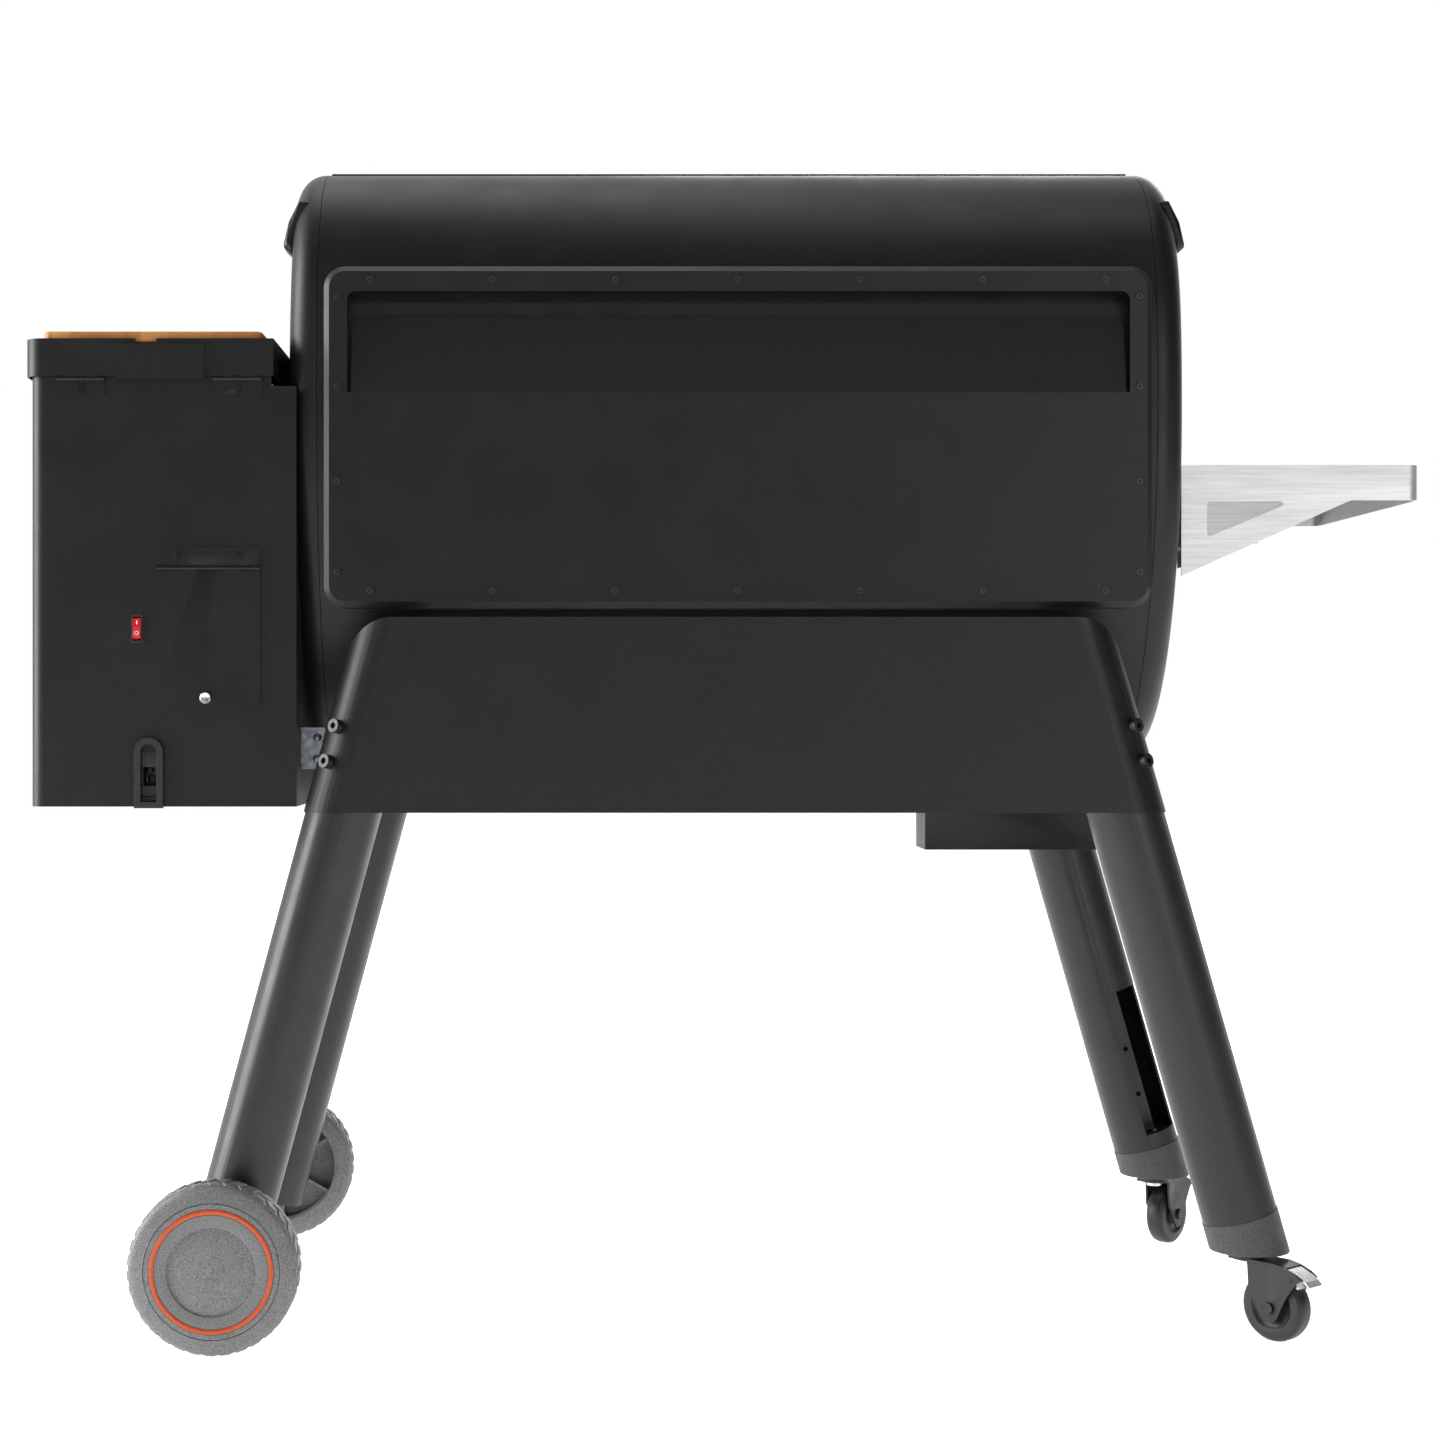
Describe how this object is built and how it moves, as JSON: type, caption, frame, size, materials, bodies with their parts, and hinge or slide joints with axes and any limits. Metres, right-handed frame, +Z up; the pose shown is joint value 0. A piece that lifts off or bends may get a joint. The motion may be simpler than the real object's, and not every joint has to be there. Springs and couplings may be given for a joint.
{
  "type": "pellet smoker grill",
  "caption": "Barrel-shaped pellet smoker grill on splayed legs, with a pellet hopper at one end, a side shelf at the other, two large wheels and two casters",
  "frame": {"origin": "on the floor under the middle of the grill", "axes": "+X toward the pellet hopper and the two large wheels, -X toward the side shelf and casters; -Y is the front with the handle and control panel, +Y the back with the exhaust cover; +Z up"},
  "size_m": [1.499, 0.635, 1.27],
  "materials": {
    "black_powder_coat": "satin powder coat",
    "galvanised_steel": "galvanised, matt",
    "stainless": "brushed",
    "bright_zinc": "zinc plated",
    "black_oxide": "black oxide",
    "enamelled_rod": "porcelain enamel",
    "grey_plastic": "moulded, fine grain",
    "dark_plastic": "moulded",
    "orange_plastic": "moulded",
    "red_plastic": "moulded",
    "caster_plastic": "moulded",
    "bamboo": "oiled bamboo"
  },
  "bodies": {
    "stand": {"barrel_shell": "black_powder_coat", "end_cap_hopper_side": "black_powder_coat", "end_cap_shelf_side": "black_powder_coat", "barrel_liner": "galvanised_steel", "hood_pivot_pins": "bright_zinc", "hinge_covers": "black_powder_coat", "exhaust_frame": "black_powder_coat", "exhaust_panel": "black_powder_coat", "panel_screws": "black_oxide", "rear_apron": "black_powder_coat", "front_apron": "black_powder_coat", "apron_bolts": "black_oxide", "cradle_saddles": "black_powder_coat", "leg_rear_hopper": "black_powder_coat", "leg_front_hopper": "black_powder_coat", "leg_rear_shelf": "black_powder_coat", "leg_front_shelf": "black_powder_coat", "leg_end_sleeves": "grey_plastic", "wheel_axles": "bright_zinc", "caster_stems": "bright_zinc", "hopper_casing": "black_powder_coat", "hopper_bin": "galvanised_steel", "hinge_leaves": "black_powder_coat", "switch_bezel": "dark_plastic", "cord_inlet": "dark_plastic", "control_panel": "dark_plastic", "auger_tube": "galvanised_steel", "auger_motor": "galvanised_steel", "fan_housing": "galvanised_steel", "firepot": "galvanised_steel", "drip_tray": "galvanised_steel", "lower_grate": "enamelled_rod", "upper_grate": "enamelled_rod", "side_shelf": "stainless", "shelf_bolts": "bright_zinc"},
    "hood": {"hood": "black_powder_coat", "hood_arms": "galvanised_steel", "hood_handle": "stainless", "handle_brackets": "black_powder_coat"},
    "rear_wheel": {"rear_wheel": "grey_plastic", "rear_hub_cover": "grey_plastic", "wheel_rings_rear": "orange_plastic"},
    "front_wheel": {"front_wheel": "grey_plastic", "front_hub_cover": "grey_plastic", "wheel_rings_front": "orange_plastic"},
    "rear_caster": {"rear_caster_fork": "caster_plastic"},
    "rear_caster_wheel": {"rear_caster_wheel": "caster_plastic"},
    "brake_lever": {"brake_lever": "bright_zinc"},
    "front_caster": {"front_caster_fork": "caster_plastic"},
    "front_caster_wheel": {"front_caster_wheel": "caster_plastic"},
    "hopper_lid": {"hopper_lid": "black_powder_coat"},
    "cutting_board": {"cutting_board": "bamboo"},
    "cleanout_door": {"cleanout_door": "black_powder_coat"},
    "cleanout_knob": {"cleanout_knob": "bright_zinc"},
    "switch_rocker": {"switch_rocker": "red_plastic"},
    "control_dial": {"control_dial": "bright_zinc"},
    "control_button": {"control_button": "dark_plastic"},
    "auger": {"auger": "bright_zinc"},
    "fan_impeller": {"fan_impeller": "galvanised_steel"},
    "grease_tray": {"grease_tray": "black_powder_coat"}
  },
  "joints": [
    {"name": "hood_hinge", "type": "hinge", "parent": "stand", "child": "hood", "pos_m": [0, 0.15, 1.18], "axis": [-1, 0, 0], "range_deg": [0, 80]},
    {"name": "rear_wheel_spin", "type": "hinge", "parent": "stand", "child": "rear_wheel", "pos_m": [0.53787, 0.2925, 0.0885], "axis": [0, 1, 0], "continuous": true},
    {"name": "front_wheel_spin", "type": "hinge", "parent": "stand", "child": "front_wheel", "pos_m": [0.53787, -0.2925, 0.0885], "axis": [0, 1, 0], "continuous": true},
    {"name": "rear_caster_swivel", "type": "hinge", "parent": "stand", "child": "rear_caster", "pos_m": [-0.552, 0.216, 0.084], "axis": [0, 0, 1], "continuous": true},
    {"name": "rear_caster_spin", "type": "hinge", "parent": "rear_caster", "child": "rear_caster_wheel", "pos_m": [-0.57431, 0.24166, 0.0365], "axis": [0.7547, 0.6561, 0], "continuous": true},
    {"name": "brake_press", "type": "hinge", "parent": "rear_caster", "child": "brake_lever", "pos_m": [-0.59136, 0.26128, 0.069], "axis": [-0.7547, -0.6561, 0], "range_deg": [0, 15]},
    {"name": "front_caster_swivel", "type": "hinge", "parent": "stand", "child": "front_caster", "pos_m": [-0.552, -0.216, 0.084], "axis": [0, 0, 1], "continuous": true},
    {"name": "front_caster_spin", "type": "hinge", "parent": "front_caster", "child": "front_caster_wheel", "pos_m": [-0.57385, -0.24205, 0.0365], "axis": [-0.766, 0.6428, 0], "continuous": true},
    {"name": "lid_hinge", "type": "hinge", "parent": "stand", "child": "hopper_lid", "pos_m": [0.6, 0.2297, 1.0155], "axis": [-1, 0, 0], "range_deg": [0, 95]},
    {"name": "board_lift", "type": "slide", "parent": "hopper_lid", "child": "cutting_board", "axis": [0, 0, 1], "range_m": [0, 0.15]},
    {"name": "cleanout_door_hinge", "type": "hinge", "parent": "stand", "child": "cleanout_door", "pos_m": [0.5544, 0.2294, 0.815], "axis": [1, 0, 0], "range_deg": [0, 100]},
    {"name": "cleanout_knob_turn", "type": "hinge", "parent": "cleanout_door", "child": "cleanout_knob", "pos_m": [0.5565, 0.227, 0.6772], "axis": [0, 1, 0], "continuous": true},
    {"name": "power_switch", "type": "hinge", "parent": "stand", "child": "switch_rocker", "pos_m": [0.6298, 0.224, 0.7507], "axis": [-1, 0, 0], "range_deg": [0, 16]},
    {"name": "dial_turn", "type": "hinge", "parent": "stand", "child": "control_dial", "pos_m": [0.603, -0.236, 0.864], "axis": [0, -1, 0], "continuous": true},
    {"name": "button_press", "type": "slide", "parent": "stand", "child": "control_button", "axis": [0, 1, 0], "range_m": [0, 0.0015], "stiffness_N_per_m": 250},
    {"name": "auger_turn", "type": "hinge", "parent": "stand", "child": "auger", "pos_m": [0.4, 0, 0.676], "axis": [1, 0, 0], "continuous": true},
    {"name": "fan_spin", "type": "hinge", "parent": "stand", "child": "fan_impeller", "pos_m": [0.6, -0.06, 0.59], "axis": [0, 0, 1], "continuous": true},
    {"name": "grease_tray_slide", "type": "slide", "parent": "stand", "child": "grease_tray", "axis": [-1, 0, 0], "range_m": [0, 0.19]}
  ]
}
